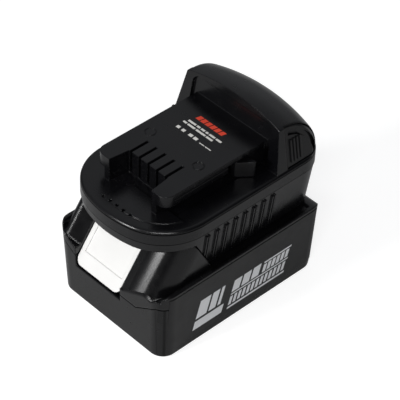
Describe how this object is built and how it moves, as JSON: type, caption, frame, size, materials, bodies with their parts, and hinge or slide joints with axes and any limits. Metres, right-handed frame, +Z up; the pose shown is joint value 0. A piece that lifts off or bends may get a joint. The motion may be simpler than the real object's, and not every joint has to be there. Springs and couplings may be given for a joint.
{
  "type": "power tool battery adapter",
  "caption": "Battery adapter on a slide-on tool pack: railed platform with contact slots, barrel-topped tower with squeeze latches, ribbed skirt, deep case with a sloped release button.",
  "frame": {"origin": "bottom centre of the pack, on the surface it stands on", "axes": "+Z up; the release button's slope is the front, towards -Y; +Y is the tower's end; +X is the right-hand side seen from behind the button's end, the printed side in the picture"},
  "size_m": [0.078, 0.1138, 0.1028],
  "materials": {
    "pack_plastic": "satin black, fine moulded grain",
    "adapter_plastic": "satin black, fine moulded grain",
    "latch_plastic": "satin black",
    "button_white": "smooth white",
    "label": "satin black film with pale grey bars",
    "cell_can": "shrink-sleeved cell can",
    "holder_plastic": "natural grey",
    "nickel": "plated strip",
    "board": "green solder mask",
    "board_parts": "dark moulded parts",
    "contact_metal": "tinned copper alloy",
    "carrier_plastic": "black",
    "spring_steel": "drawn wire",
    "screw_steel": "dark plated"
  },
  "bodies": {
    "pack": {"pack_lower_case": "pack_plastic", "pack_upper_case": "pack_plastic", "pack_label_left": "label", "pack_label_right": "label", "pack_button_springs": "spring_steel", "cells": "cell_can", "cell_holder_left": "holder_plastic", "cell_holder_right": "holder_plastic", "cell_straps_left": "nickel", "cell_straps_right": "nickel", "pack_board": "board", "pack_clip_positive": "contact_metal", "pack_clip_negative": "contact_metal", "pack_data_socket": "carrier_plastic", "pack_case_screws": "screw_steel", "pack_board_screws": "screw_steel"},
    "adapter": {"adapter_upper_housing": "adapter_plastic", "adapter_lower_housing": "adapter_plastic", "left_latch_spring": "spring_steel", "right_latch_spring": "spring_steel", "adapter_board": "board", "adapter_board_parts": "board_parts", "contact_clip_1": "contact_metal", "contact_clip_2": "contact_metal", "contact_clip_3": "contact_metal", "contact_clip_4": "contact_metal", "contact_clip_5": "contact_metal", "contact_carrier": "carrier_plastic", "input_blade_positive": "contact_metal", "input_blade_negative": "contact_metal", "input_signal_blades": "contact_metal", "blade_carrier": "carrier_plastic", "adapter_case_screws": "screw_steel", "adapter_board_screws": "screw_steel"},
    "release_button": {"pack_release_button": "button_white"},
    "left_squeeze_latch": {"left_latch": "latch_plastic"},
    "right_squeeze_latch": {"right_latch": "latch_plastic"}
  },
  "joints": [
    {"name": "adapter_slide", "type": "slide", "parent": "pack", "child": "adapter", "axis": [0, 1, 0], "range_m": [0, 0.08]},
    {"name": "release_button_press", "type": "slide", "parent": "pack", "child": "release_button", "axis": [0, 0, -1], "range_m": [0, 0.003], "stiffness_N_per_m": 900, "springref_m": -0.003, "deforming": ["pack_button_springs"]},
    {"name": "left_latch_squeeze", "type": "slide", "parent": "adapter", "child": "left_squeeze_latch", "axis": [1, 0, 0], "range_m": [0, 0.0044], "stiffness_N_per_m": 900, "springref_m": -0.003, "deforming": ["left_latch_spring"]},
    {"name": "right_latch_squeeze", "type": "slide", "parent": "adapter", "child": "right_squeeze_latch", "axis": [-1, 0, 0], "range_m": [0, 0.0044], "stiffness_N_per_m": 900, "springref_m": -0.003, "deforming": ["right_latch_spring"]}
  ]
}
